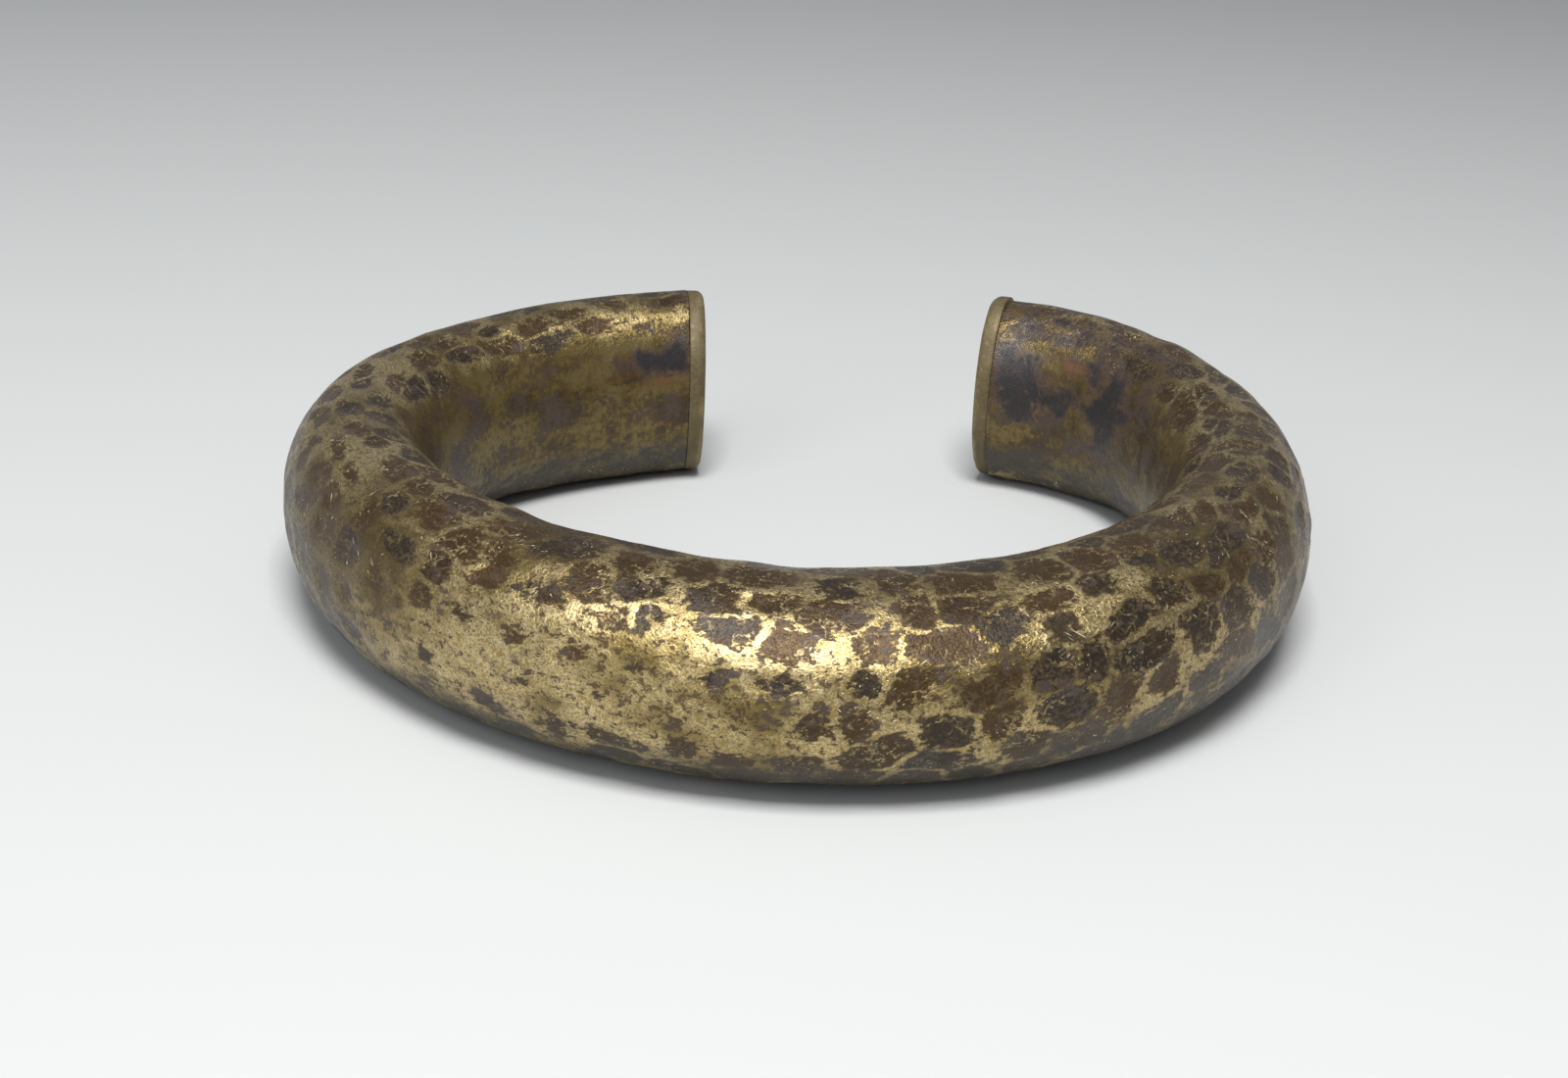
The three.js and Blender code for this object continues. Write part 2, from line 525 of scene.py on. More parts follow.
@dataclass(frozen=True)
class BendSide:
    """One side of the bend, from the middle of the bow: lengths in mm, sweeps in degrees."""

    bow_sweep: float
    shoulder_radius: float
    shoulder_sweep: float
    arm_radius: float
    arm_sweep: float
    bow_radius: float = 36.6
    ease: float = 6.0

    def lengths(self) -> tuple[float, float, float]:
        """Returns where the shoulder starts, where the arm starts and where the arm ends."""
        shoulder = self.bow_radius * math.radians(self.bow_sweep)
        arm = shoulder + self.shoulder_radius * math.radians(self.shoulder_sweep)
        return shoulder, arm, arm + self.arm_radius * math.radians(self.arm_sweep)

    def curvature(self, along: Array) -> Array:
        """Returns the curvature at distances from the middle of the bow."""
        shoulder, arm, _ = self.lengths()
        in_shoulder = smoothstep(along, shoulder - self.ease, shoulder + self.ease)
        in_arm = smoothstep(along, arm - self.ease, arm + self.ease)
        bow_to_shoulder = lerp(1.0 / self.bow_radius, 1.0 / self.shoulder_radius, in_shoulder)
        return lerp(bow_to_shoulder, 1.0 / self.arm_radius, in_arm)

    def walk(self, longest_step: float) -> Course:
        """Walks the centreline in equal steps, as if it were the right-hand side.

        Args:
            longest_step: the most that a step may be, in millimetres.

        Returns:
            The course from the middle of the bow to the end.
        """
        length = self.lengths()[2]
        count = math.ceil(length / longest_step)
        step = length / count
        turns = self.curvature((np.arange(count) + 0.5) * step) * step
        heading = np.concatenate([[0.0], np.cumsum(turns)])
        chord = heading[:-1] + turns / 2.0
        along = np.arange(count + 1) * step
        return Course(
            along=along,
            x=np.concatenate([[0.0], np.cumsum(step * np.cos(chord))]),
            y=np.concatenate([[0.0], np.cumsum(step * np.sin(chord))]),
            heading=heading,
            share=along / length,
            to_end=length - along,
            curvature=self.curvature(along),
        )


@dataclass(frozen=True)
class SectionSizes:
    """A size of the section at the middle of the bow, at the waist and at the ends."""

    bow: float
    waist: float
    end: float
    waist_share: float = 0.55

    def at(self, share: Array) -> Array:
        """Returns the size at shares of the way from the bow to an end."""
        to_waist = smoothstep(share, 0.0, self.waist_share)
        to_end = smoothstep(share, self.waist_share, 1.0)
        return lerp(lerp(self.bow, self.waist, to_waist), self.end, to_end)


@dataclass
class Bar:
    """The smooth bent bar that everything else is laid out on, in millimetres."""

    left: BendSide = BendSide(85.0, 24.3, 64.5, 48.5, 24.7)
    right: BendSide = BendSide(99.5, 20.5, 53.5, 34.5, 0.5)
    width: SectionSizes = SectionSizes(16.8, 12.3, 11.6)
    height: SectionSizes = SectionSizes(14.8, 16.3, 17.5)
    fullness: float = 2.1
    left_cut: float = 12.0
    right_cut: float = -3.0
    cut_run: float = 8.0
    typical_share: float = 0.4
    step: float = 0.28
    sides: int = 128
    course: Course = field(init=False)
    angles: Array = field(init=False)
    shift: Array = field(init=False)

    def __post_init__(self) -> None:
        """Lays out the stations, and centres the bar on the box of the tube's node."""
        self.course = self.left.walk(self.step).mirrored().joined(self.right.walk(self.step))
        self.angles = TURN * np.arange(self.sides) / self.sides
        self.shift = np.zeros(3)
        skin = self.points().reshape(-1, 3)
        low, high = (np.array(corner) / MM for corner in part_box("hammered_tube"))
        middle = (skin.min(axis=0) + skin.max(axis=0)) / 2.0
        self.shift = (low + high) / 2.0 - middle
        self.shift[2] = low[2]

    def half_width(self) -> Array:
        """Returns half the width of each section."""
        return self.width.at(self.course.share) / 2.0

    def half_height(self) -> Array:
        """Returns half the height of each section."""
        return self.height.at(self.course.share) / 2.0

    def slant(self) -> Array:
        """Returns how far each section leans along the bar, for each mm outwards."""
        fade = np.clip(1.0 - self.course.to_end / self.cut_run, 0.0, None)
        left = -math.tan(math.radians(self.left_cut))
        right = math.tan(math.radians(self.right_cut))
        return fade * np.where(self.course.along < 0.0, left, right)

    def outline(self, angles: Array) -> tuple[Array, Array]:
        """Returns the unit outline at angles: how far outwards, and how far up."""
        power = 2.0 / self.fullness
        cos, sin = np.cos(angles), np.sin(angles)
        return np.sign(cos) * np.abs(cos) ** power, np.sign(sin) * np.abs(sin) ** power

    def points(self, inset: float = 0.0) -> Array:
        """Returns the surface, drawn in by an inset.

        Args:
            inset: the distance inside the outer surface.

        Returns:
            An array of stations by sides by three coordinates.
        """
        course = self.course
        out_unit, up_unit = self.outline(self.angles)
        out = out_unit[None, :] * (self.half_width()[:, None] - inset)
        forward = np.stack([np.cos(course.heading), np.sin(course.heading)], axis=-1)
        outward = np.stack([np.sin(course.heading), -np.cos(course.heading)], axis=-1)
        middle = np.stack([course.x, course.y], axis=-1)
        lean = out * self.slant()[:, None]
        plan = middle[:, None] + outward[:, None] * out[..., None] + forward[:, None] * lean[..., None]
        half_height = self.half_height()[:, None]
        rise = half_height + up_unit[None, :] * (half_height - inset)
        return np.concatenate([plan, rise[..., None]], axis=-1) + self.shift

    def normals(self) -> Array:
        """Returns the unit normals of the smooth surface, pointing out of the metal."""
        skin = self.points()
        lengthwise = np.gradient(skin, axis=0)
        around = np.roll(skin, -1, axis=1) - np.roll(skin, 1, axis=1)
        normal = unit(np.cross(around, lengthwise))
        away = skin - skin.mean(axis=1, keepdims=True)
        return normal if (normal * away).sum() > 0.0 else -normal

    def straightened(self) -> Array:
        """Returns the surface as if the bar were straight: along, outwards and up."""
        out_unit, up_unit = self.outline(self.angles)
        along = np.repeat(self.course.along[:, None], self.sides, axis=1)
        out = out_unit[None, :] * self.half_width()[:, None]
        rise = up_unit[None, :] * self.half_height()[:, None]
        return np.stack([along, out, rise], axis=-1)

    def degrees(self) -> Array:
        """Returns the angle of each side about the bar, from -180 to 180 degrees."""
        turned = np.degrees(self.angles)
        return np.where(turned > 180.0, turned - 360.0, turned)

    def perimeter(self) -> float:
        """Returns the length around the bar, taken as the same everywhere."""
        typical = np.array(self.typical_share)
        return math.pi * (self.width.at(typical) + self.height.at(typical)) / 2.0


@dataclass(frozen=True)
class Patch:
    """An oval area of the bar's surface, with a soft border.

    The place along the bar is in millimetres from the middle of the bow, less than 0 on the left.
    The place around it is in degrees from the outermost line, upwards.
    """

    along: float
    around: float
    reach_along: float
    reach_around: float
    strength: float = 1.0

    def cover(self, bar: Bar) -> Array:
        """Returns how strongly the patch covers each point of the bar's grid."""
        beside = (bar.course.along[:, None] - self.along) / self.reach_along
        turned = (bar.degrees()[None, :] - self.around + 180.0) % 360.0 - 180.0
        return self.strength * np.exp(-(beside**2) - (turned / self.reach_around) ** 2)


def covered(bar: Bar, patches: tuple[Patch, ...]) -> Array:
    """Returns how strongly any of the patches covers each point of the bar's grid."""
    return np.max([patch.cover(bar) for patch in patches], axis=0)


# ---- Hammer marks ----


@dataclass
class MarkField:
    """What the hammer left, on the bar's grid: depths in mm, and each mark's middle and tone."""

    depth: Array
    mark: Array
    second: Array
    tone: Array


@dataclass
class HammerMarks:
    """Overlapping oval blows of a small hammer, in rows along the bar. Lengths are in mm."""

    spacing: float = 4.7
    rows: int = 17
    row_shift: float = 0.12
    stray_along: float = 0.17
    stray_around: float = 0.2
    half_length: Span = (1.5, 3.4)
    half_width: Span = (0.95, 1.9)
    depth: Span = (0.06, 0.18)
    largest_turn: float = 20.0
    largest_skew: float = 0.25
    least_stretch: float = 0.6
    seed: int = 7
    border: float = 1.2

    def strike(self, bar: Bar, strength: Array) -> MarkField:
        """Strikes the whole bar.

        Args:
            bar: the smooth bar.
            strength: how strong the blows are at each point of its grid.

        Returns:
            The marks on the bar's grid.
        """
        rng = np.random.default_rng(self.seed)
        shape = (len(bar.course.along), bar.sides)
        bare = np.full(shape, -self.border)
        marks = MarkField(np.zeros(shape), bare.copy(), bare.copy(), np.full(shape, 0.5))
        for row in range(self.rows):
            middle_angle = TURN * row / self.rows
            real = self._real_lengths(bar, middle_angle)
            offset = (row % 2) * 0.5 + rng.uniform(-self.row_shift, self.row_shift)
            for number in range(int(real[-1] / self.spacing) + 1):
                place = (number + offset + rng.normal(0.0, self.stray_along)) * self.spacing
                angle = middle_angle + rng.normal(0.0, self.stray_around) * TURN / self.rows
                along = float(np.interp(place, real, bar.course.along))
                self._blow(bar, marks, strength, rng, along, angle)
        return marks

    @staticmethod
    def _real_lengths(bar: Bar, angle: float) -> Array:
        """Returns the real length from the left end to each station, on one line of the bar."""
        out = bar.outline(np.array([angle]))[0][0] * bar.half_width()
        stretch = 1.0 + bar.course.curvature * out
        steps = np.diff(bar.course.along) * (stretch[1:] + stretch[:-1]) / 2.0
        return np.concatenate([[0.0], np.cumsum(steps)])

    def _blow(
        self, bar: Bar, marks: MarkField, strength: Array, rng: np.random.Generator,
        along: float, angle: float,
    ) -> None:
        """Adds one blow to the marks.

        Args:
            bar: the smooth bar.
            marks: the marks so far, which the blow is added to.
            strength: how strong the blows are at each point of the grid.
            rng: the source of the blow's own size, turn, depth and tone.
            along: its place along the bar.
            angle: its place around the bar, in radians.
        """
        half_length = rng.uniform(*self.half_length)
        half_width = rng.uniform(*self.half_width)
        turn = math.radians(rng.uniform(-self.largest_turn, self.largest_turn))
        depth = rng.uniform(*self.depth)
        tone = rng.uniform()
        skew = rng.uniform(-self.largest_skew, self.largest_skew)

        reach = 2.0 * half_length / self.least_stretch
        near = np.flatnonzero(np.abs(bar.course.along - along) < reach)
        if near.size == 0:
            return
        station = int(np.argmin(np.abs(bar.course.along - along)))
        side = int(round(angle / TURN * bar.sides)) % bar.sides
        force = strength[station, side]
        out = bar.outline(bar.angles)[0][None, :] * bar.half_width()[near, None]
        stretch = 1.0 + bar.course.curvature[near, None] * out
        beside = (bar.course.along[near, None] - along) * stretch
        turned = (bar.angles[None, :] - angle + math.pi) % TURN - math.pi
        across = np.broadcast_to(turned * bar.perimeter() / TURN, beside.shape)
        lengthwise = beside * math.cos(turn) + across * math.sin(turn)
        crosswise = across * math.cos(turn) - beside * math.sin(turn)
        crosswise = crosswise + skew * lengthwise**2 * 0.15
        size = 0.8 + 0.2 * force
        away = np.hypot(lengthwise / (half_length * size), crosswise / (half_width * size))
        middle = (1.0 - away) * min(1.0, 0.35 + force) - (1.0 - force) * 0.3
        bowl = depth * force * np.clip(1.0 - away**2, 0.0, None)
        marks.depth[near] = np.maximum(marks.depth[near], bowl)
        closer = middle > marks.mark[near]
        runner_up = np.where(closer, marks.mark[near], middle)
        marks.second[near] = np.maximum(marks.second[near], runner_up)
        marks.mark[near] = np.where(closer, middle, marks.mark[near])
        marks.tone[near] = np.where(closer, tone, marks.tone[near])


@dataclass
class Pits:
    """Small round pits, scattered more thickly where the surface is pitted. Lengths are in mm."""

    count: int = 260
    radius: Span = (0.35, 0.75)
    depth: Span = (0.04, 0.1)
    nearby_stations: int = 8
    seed: int = 19

    def sink(self, bar: Bar, likely: Array) -> Array:
        """Sinks the pits.

        Args:
            bar: the smooth bar.
            likely: how likely a pit is at each point of its grid.

        Returns:
            The depth of the pits on the grid.
        """
        rng = np.random.default_rng(self.seed)
        skin = bar.points()
        depth = np.zeros(likely.shape)
        chances = (likely / likely.sum()).ravel()
        for place in rng.choice(chances.size, size=self.count, p=chances):
            station, side = divmod(int(place), bar.sides)
            radius = rng.uniform(*self.radius)
            low = max(0, station - self.nearby_stations)
            high = station + self.nearby_stations + 1
            away = np.linalg.norm(skin[low:high] - skin[station, side], axis=-1) / radius
            bowl = rng.uniform(*self.depth) * np.clip(1.0 - away**2, 0.0, None)
            depth[low:high] = np.maximum(depth[low:high], bowl)
        return depth


# ---- Pieces ----


def wrap_grid(rings: int, sides: int, closed: bool = False) -> list[tuple[int, ...]]:
    """Returns the four-sided faces between rings of points.

    Args:
        rings: how many rings there are.
        sides: how many points each ring has.
        closed: whether the last ring is joined to the first one.

    Returns:
        The faces, as point numbers.
    """
    faces = []
    for ring in range(rings if closed else rings - 1):
        here = ring * sides
        there = (ring + 1) % rings * sides
        faces += [
            (here + side, there + side, there + (side + 1) % sides, here + (side + 1) % sides)
            for side in range(sides)
        ]
    return faces


def put(name: str, data: bpy.types.ID) -> bpy.types.Object:
    """Puts a new object in the scene and returns it."""
    made = bpy.data.objects.new(name, data)
    bpy.context.scene.collection.objects.link(made)
    return made


def make_piece(
    name: str, points: Array, faces: list[tuple[int, ...]], numbers: dict[str, Array],
    lay: Array, material: bpy.types.Material,
) -> bpy.types.Object:
    """Makes a smooth-shaded mesh piece.

    Args:
        name: the piece's name.
        points: its points, in millimetres.
        faces: its faces, as point numbers.
        numbers: a number for each point, by name, which the material reads.
        lay: each point's place in the straightened metal, in millimetres.
        material: its finish.

    Returns:
        The piece, linked to the scene.
    """
    mesh = bpy.data.meshes.new(name)
    mesh.from_pydata((points * MM).tolist(), [], faces)
    for key, values in numbers.items():
        carried = mesh.attributes.new(key, "FLOAT", "POINT")
        carried.data.foreach_set("value", values.astype(np.float32).ravel())
    carried = mesh.attributes.new("lay", "FLOAT_VECTOR", "POINT")
    carried.data.foreach_set("vector", lay.astype(np.float32).ravel())
    mesh.materials.append(material)
    edited = bmesh.new()
    edited.from_mesh(mesh)
    bmesh.ops.recalc_face_normals(edited, faces=edited.faces)
    edited.to_mesh(mesh)
    edited.free()
    mesh.polygons.foreach_set("use_smooth", [True] * len(mesh.polygons))
    mesh.update()
    return put(name, mesh)


@dataclass
class HammeredTube:
    """The bent tube: a hammered skin, a rounded rim at each end and a plain bore."""

    bar: Bar
    marks: HammerMarks = field(default_factory=HammerMarks)
    pits: Pits = field(default_factory=Pits)
    wall: float = 1.4
    rim_radius: float = 0.05
    rim_steps: int = 5
    bore_every: int = 14
    wave_depth: float = 0.12
    wave_count: int = 14
    wave_length: Span = (9.0, 30.0)
    wave_seed: int = 3
    sheltered_turn: Span = (28.0, 56.0)
    below_height: Span = (-0.12, -0.72)
    arm_run: Span = (30.0, 4.0)
    rubbed: tuple[Patch, ...] = (
        Patch(-27.0, 8.0, 9.0, 26.0), Patch(-37.0, -8.0, 9.0, 30.0, 0.85),
        Patch(-14.0, 0.0, 9.0, 18.0, 0.75), Patch(-16.0, 30.0, 10.0, 14.0, 0.45),
        Patch(20.0, -30.0, 9.0, 14.0, 0.3), Patch(-50.0, 62.0, 12.0, 24.0, 0.45),
        Patch(-67.0, 96.0, 13.0, 24.0, 0.4), Patch(-96.0, 112.0, 8.0, 24.0, 0.5),
        Patch(78.0, 108.0, 9.0, 18.0, 0.3),
    )
    pitted: tuple[Patch, ...] = (
        Patch(-15.0, 8.0, 8.0, 20.0), Patch(-28.0, -20.0, 8.0, 14.0, 0.7),
        Patch(-2.0, 12.0, 6.0, 14.0, 0.5),
    )
    stained: tuple[Patch, ...] = (
        Patch(-100.5, 156.0, 2.6, 14.0, 1.2), Patch(-96.5, 152.0, 3.0, 11.0, 0.8),
        Patch(-91.5, 158.0, 3.0, 8.0, 0.4), Patch(-80.0, 156.0, 10.0, 9.0, 0.35),
        Patch(-69.0, 172.0, 5.0, 14.0, 0.55), Patch(79.0, 171.0, 3.6, 17.0, 1.25),
        Patch(73.0, 168.0, 3.0, 11.0, 0.85), Patch(79.5, 146.0, 3.4, 12.0, 1.1),
        Patch(73.0, 108.0, 10.0, 22.0, 0.8), Patch(72.0, 142.0, 3.8, 10.0, 0.85),
        Patch(66.5, 163.0, 4.2, 25.0, 1.3), Patch(75.5, 127.0, 3.4, 9.0, 0.95),
        Patch(69.0, 114.0, 5.0, 12.0, 0.9), Patch(60.0, 142.0, 4.0, 14.0, 0.5),
    )
    rusty: tuple[Patch, ...] = (
        Patch(-98.7, 168.0, 3.2, 3.6, 1.1), Patch(-94.0, 162.0, 2.4, 3.0, 0.9),
        Patch(73.0, 146.0, 3.0, 6.0, 0.8),
    )
    dulled: tuple[Patch, ...] = (
        Patch(-46.0, 16.0, 13.0, 30.0, 1.5), Patch(-62.0, 30.0, 14.0, 34.0, 0.7),
        Patch(16.0, -26.0, 12.0, 18.0, 0.9), Patch(28.0, -10.0, 13.0, 26.0, 0.9),
        Patch(74.0, 126.0, 14.0, 28.0, 1.5),
    )
    creased: Patch = Patch(55.5, 168.0, 6.0, 40.0)
    crease_length: float = 3.7
    crease_depth: float = 0.2

    def build(self) -> bpy.types.Object:
        """Builds and dresses the tube.

        Returns:
            The piece.
        """
        bar = self.bar
        sheltered = self._sheltered()
        hammered = self.marks.strike(bar, self._blow_strength(sheltered))
        pitted = covered(bar, self.pitted)
        pits = self.pits.sink(bar, 0.12 + pitted - 0.11 * sheltered)
        depth = hammered.depth + pits + self._waves() + self._creases()
        skin = bar.points() - bar.normals() * depth[..., None]

        numbers = {
            "mark": hammered.mark,
            "gap": hammered.mark - hammered.second,
            "tone": hammered.tone,
            "wear": covered(bar, self.rubbed),
            "pitted": pitted,
            "stain": covered(bar, self.stained),
            "rust": covered(bar, self.rusty),
            "dulled": covered(bar, self.dulled),
            "sheltered": sheltered,
            "below": self._below(),
        }
        rings, sources = self._rings(skin)
        faces = wrap_grid(len(rings), bar.sides, closed=True)
        numbers = {name: values[sources] for name, values in numbers.items()}
        lay = bar.straightened()[sources].reshape(-1, 3)
        finish = HammeredBrass().material()
        piece = make_piece("hammered_skin", np.concatenate(rings), faces, numbers, lay, finish)
        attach(piece, "root")
        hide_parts("hammered_tube")
        log.info("%s: %d faces", piece.name, len(faces))
        return piece

    def _sheltered(self) -> Array:
        """Returns 1 on the inner wall, which a hammer hardly reaches, and 0 on the outside."""
        turned = np.abs(np.abs(self.bar.degrees()) - 180.0)[None, :]
        wall = 1.0 - smoothstep(turned, *self.sheltered_turn)
        return np.repeat(wall, len(self.bar.course.along), axis=0)

    def _below(self) -> Array:
        """Returns 1 on the lower side, where the finish is painted darker and greyer as shade and
        reflection.
        """
        low = smoothstep(np.sin(self.bar.angles), *self.below_height)[None, :]
        return np.repeat(low, len(self.bar.course.along), axis=0)

    def _blow_strength(self, sheltered: Array) -> Array:
        """Returns how strong the blows are at each point of the grid."""
        rubbed = covered(self.bar, self.rubbed)
        arms = smoothstep(self.bar.course.to_end, *self.arm_run)[:, None] * 0.3
        return np.clip(1.0 - 0.85 * sheltered - 0.5 * rubbed - arms, 0.05, 1.0)

    def _waves(self) -> Array:
        """Returns a slow unevenness of the whole surface, as a depth that is never below 0."""
        rng = np.random.default_rng(self.wave_seed)
        along = self.bar.course.along[:, None]
        angles = self.bar.angles[None, :]
        total = np.zeros((along.size, angles.size))
        for _ in range(self.wave_count):
            length = rng.uniform(*self.wave_length)
            folds = int(rng.integers(0, 4))
            total += np.sin(TURN * along / length + folds * angles + rng.uniform(0.0, TURN))
        total = total / self.wave_count**0.5
        return self.wave_depth * np.clip(0.5 + 0.4 * total, 0.0, 1.0)

    def _creases(self) -> Array:
        """Returns the depth of the creases that the tight bend pressed into the inner wall."""
        along = self.bar.course.along[:, None]
        angles = self.bar.angles[None, :]
        wander = (np.sin(2.0 * angles) + 0.7 * np.sin(5.0 * angles + along / 4.0)) * 1.3
        folds = 0.5 - 0.5 * np.cos(TURN * (along + wander) / self.crease_length)
        folds *= 0.5 + 0.5 * np.sin(3.0 * angles + along / 1.9)
        return self.crease_depth * self.creased.cover(self.bar) * folds

    def _rings(self, skin: Array) -> tuple[list[Array], list[int]]:
        """Puts the rings of points in order: the skin, a rim, the bore and the other rim.

        Args:
            skin: the hammered surface.

        Returns:
            The rings, and the station that each one takes its finish from.
        """
        bore = self.bar.points(self.wall)
        last = len(skin) - 1
        left_rim = self._rim(skin[0], skin[1], bore[0])
        right_rim = self._rim(skin[last], skin[last - 1], bore[last])
        inner = range(last - self.bore_every, self.bore_every, -self.bore_every)
        placed = [(ring, 0) for ring in reversed(left_rim)]
        placed += [(skin[station], station) for station in range(2, last - 1)]
        placed += [(ring, last) for ring in right_rim]
        placed += [(bore[station], station) for station in inner]
        return [ring for ring, _ in placed], [station for _, station in placed]

    def _rim(self, end: Array, before: Array, bore: Array) -> list[Array]:
        """Rounds the outer edge of an end and runs in to the bore.

        Args:
            end: the last ring of the skin.
            before: the ring before it.
            bore: the last ring of the bore.

        Returns:
            The rings of the rim, from the skin to the bore.
        """
        back, inward = unit(before - end), unit(bore - end)
        rings = []
        for quarter in np.linspace(0.0, math.pi / 2.0, self.rim_steps):
            away, inset = 1.0 - math.sin(quarter), 1.0 - math.cos(quarter)
            rings.append(end + (back * away + inward * inset) * self.rim_radius)
        return [*rings, bore]


class End(Enum):
    """The two ends of the tube: the station, and the way out of it."""

    LEFT = (0, -1.0)
    RIGHT = (-1, 1.0)


@dataclass
class EndPlate:
    """A plate that closes one end of the tube. Lengths are in millimetres."""

    bar: Bar
    end: End
    name: str
    node: str
    lift: float = 0.0
    thickness: float = 1.2
    seam: float = 0.3
    hairline: float = 0.02
    rim_radius: float = 0.7
    rim_steps: int = 6
    unevenness: float = 0.06
    sides: int = 160
    seed: int = 5

    def build(self, material: bpy.types.Material) -> bpy.types.Object:
        """Builds and dresses the plate.

        Args:
            material: its finish.

        Returns:
            The piece.
        """
        station, way = self.end.value
        bar = self.bar
        heading = bar.course.heading[station]
        slant = bar.slant()[station]
        forward = np.array([math.cos(heading), math.sin(heading), 0.0])
        outward = np.array([math.sin(heading), -math.cos(heading), 0.0])
        across = outward + forward * slant
        stretch = np.linalg.norm(across)
        across = across / stretch
        normal = np.cross([0.0, 0.0, 1.0], across) * way
        half_width = bar.half_width()[station] * stretch
        half_height = bar.half_height()[station]
        middle = np.array([bar.course.x[station], bar.course.y[station], half_height]) + bar.shift
        middle[2] += self.lift

        angles = TURN * np.arange(self.sides) / self.sides
        out_unit, up_unit = bar.outline(angles)
        wobble = self._wobble(angles)
        points, lays, rims = [], [], []
        for inset, rise, rim in self._profile(min(half_width, half_height)):
            out = out_unit * (half_width - inset - wobble)
            up = up_unit * (half_height - inset - wobble)
            ring = middle + across * out[:, None] + normal * rise
            ring[:, 2] += up
            points.append(ring)
            lays.append(np.stack([np.full(self.sides, 40.0 * way + rise), out, up], axis=-1))
            rims.append(np.full(self.sides, rim))
        faces = wrap_grid(len(points), self.sides)
        face = range((len(points) - 1) * self.sides, len(points) * self.sides)
        faces += [tuple(range(self.sides)), tuple(reversed(face))]
        numbers = {"rim": np.concatenate(rims)}
        lay = np.concatenate(lays)
        piece = make_piece(self.name, np.concatenate(points), faces, numbers, lay, material)
        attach(piece, "root")
        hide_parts(self.node)
        log.info("%s: %d faces on node %s", piece.name, len(faces), self.node)
        return piece

    def _wobble(self, angles: Array) -> Array:
        """Returns how far the filed edge falls short of the outline."""
        rng = np.random.default_rng(self.seed)
        total = np.zeros_like(angles)
        for folds in range(2, 15):
            total += np.sin(folds * angles + rng.uniform(0.0, TURN)) / folds**0.5
        return self.unevenness * (1.0 + total / 2.0)

    def _profile(self, half: float) -> list[tuple[float, float, float]]:
        """Lists the rings of the plate from the seam to the face.

        Args:
            half: the smaller half size of the outline.

        Returns:
            For each ring its inset, its height over the tube's end, and how near the rim it is.
        """
        low = self.hairline
        high = self.seam + self.thickness
        radius = self.rim_radius
        rings = [(half * share, low, 0.0) for share in (0.9, 0.5)]
        rings += [(0.5, low, 0.0), (0.03, low, 0.0), (0.0, low + 0.03, 0.0)]
        rings += [(0.0, rise, 0.0) for rise in (0.45, high - radius)]
        for quarter in np.linspace(0.0, math.pi / 2.0, self.rim_steps)[1:]:
            inset, below = radius * (1.0 - math.cos(quarter)), radius * (1.0 - math.sin(quarter))
            rings.append((inset, high - below, math.sin(2.0 * quarter)))
        rings += [(half * share, high, 0.0) for share in (0.15, 0.25, 0.5, 0.75, 0.9)]
        return rings


# ---- The studio ----


def turned(first: Vector, second: Vector, degrees: float) -> tuple[Vector, Vector]:
    """Returns two square directions turned in their own plane, the first towards the second."""
    cos, sin = math.cos(math.radians(degrees)), math.sin(math.radians(degrees))
    return first * cos + second * sin, second * cos - first * sin


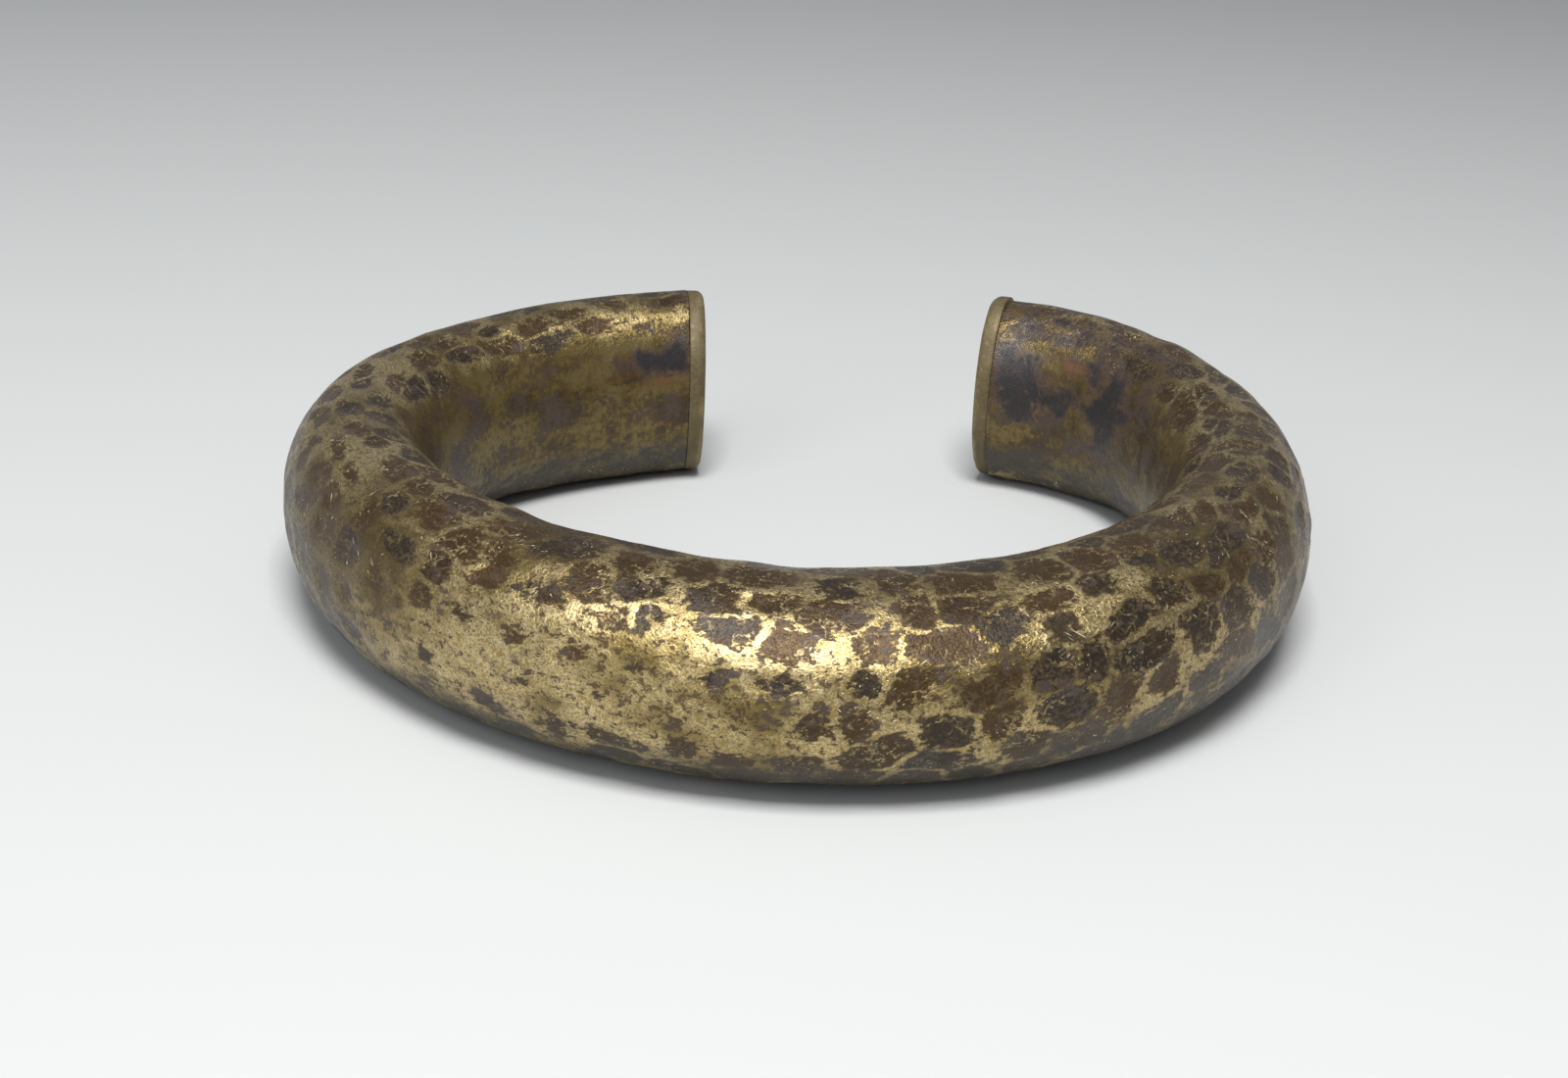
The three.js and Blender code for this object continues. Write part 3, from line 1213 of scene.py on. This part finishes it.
@dataclass
class Studio:
    """The floor, the soft lights and the camera. Lengths are in metres, angles in degrees."""

    floor_half: float = 3.0
    room_light: float = 0.3
    room_colour: Colour = (0.92, 0.95, 1.0)
    aim: Place = (0.0, 0.0014, 0.00744)
    elevation: float = 21.108
    azimuth: float = -14.206
    distance: float = 0.18735
    roll: float = 2.960
    pan: float = 0.603
    tilt: float = 0.751
    lens: float = 51.85

    def build(self) -> None:
        """Sets up the whole studio."""
        self._floor()
        self._world()
        self._light("overhead", (-0.05, -0.20, 0.44), 0.18, 3.3, (0.985, 0.99, 0.985))
        self._light("window", (-0.38, -0.36, 0.34), 0.4, 1.1, (0.93, 0.97, 1.0))
        self._camera()
        bpy.context.scene.view_settings.view_transform = "Standard"

    def _floor(self) -> None:
        """Lays the floor under the bangle."""
        far = self.floor_half
        corners = [(-far, -far, 0.0), (far, -far, 0.0), (far, far, 0.0), (-far, far, 0.0)]
        mesh = bpy.data.meshes.new("floor")
        mesh.from_pydata(corners, [], [(0, 1, 2, 3)])
        mesh.materials.append(PaleFloor().material())
        floor = put("floor", mesh)

    def _world(self) -> None:
        """Fills the room with dim soft light."""
        world = bpy.data.worlds.new("room")
        world.use_nodes = True
        background = world.node_tree.nodes["Background"]
        background.inputs["Color"].default_value = rgba(self.room_colour)
        background.inputs["Strength"].default_value = self.room_light
        bpy.context.scene.world = world

    def _light(self, name: str, place: Place, size: float, power: float, colour: Colour) -> None:
        """Hangs a square soft light that looks at the bangle.

        Args:
            name: the light's name.
            place: where it hangs.
            size: its side.
            power: its power in watts.
            colour: its colour.
        """
        lamp = bpy.data.lights.new(name, "AREA")
        lamp.size = size
        lamp.energy = power
        lamp.color = colour
        light = put(name, lamp)
        light.location = place
        light.rotation_euler = (Vector(self.aim) - Vector(place)).to_track_quat("-Z", "Y").to_euler()

    def _camera(self) -> None:
        """Puts up the camera."""
        elevation = math.radians(self.elevation)
        azimuth = math.radians(self.azimuth)
        back = Vector((
            math.sin(azimuth) * math.cos(elevation),
            -math.cos(azimuth) * math.cos(elevation),
            math.sin(elevation),
        ))
        ahead = -back
        right = ahead.cross(Vector((0.0, 0.0, 1.0))).normalized()
        up = right.cross(ahead)
        ahead, right = turned(ahead, right, -self.pan)
        ahead, up = turned(ahead, up, -self.tilt)
        right, up = turned(right, up, self.roll)
        place = Vector(self.aim) + back * self.distance
        data = bpy.data.cameras.new("camera")
        data.lens = self.lens
        data.clip_start = 0.01
        camera = put("camera", data)
        turn = Matrix((right, up, -ahead)).transposed().to_4x4()
        camera.matrix_world = Matrix.Translation(place) @ turn
        bpy.context.scene.camera = camera


# ---- Building it all ----


def main() -> None:
    """Builds the bangle around its frame and lights it."""
    logging.basicConfig(level=logging.INFO, format="%(name)s: %(message)s")
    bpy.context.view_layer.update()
    bar = Bar()
    HammeredTube(bar).build()
    plate_finish = PlateBrass().material()
    EndPlate(bar, End.LEFT, "left_plate", "left_end_plate").build(plate_finish)
    EndPlate(
        bar, End.RIGHT, "right_plate", "right_end_plate", lift=0.35, unevenness=0.1, seed=11
    ).build(plate_finish)
    Studio().build()


if __name__ == "__main__":
    main()
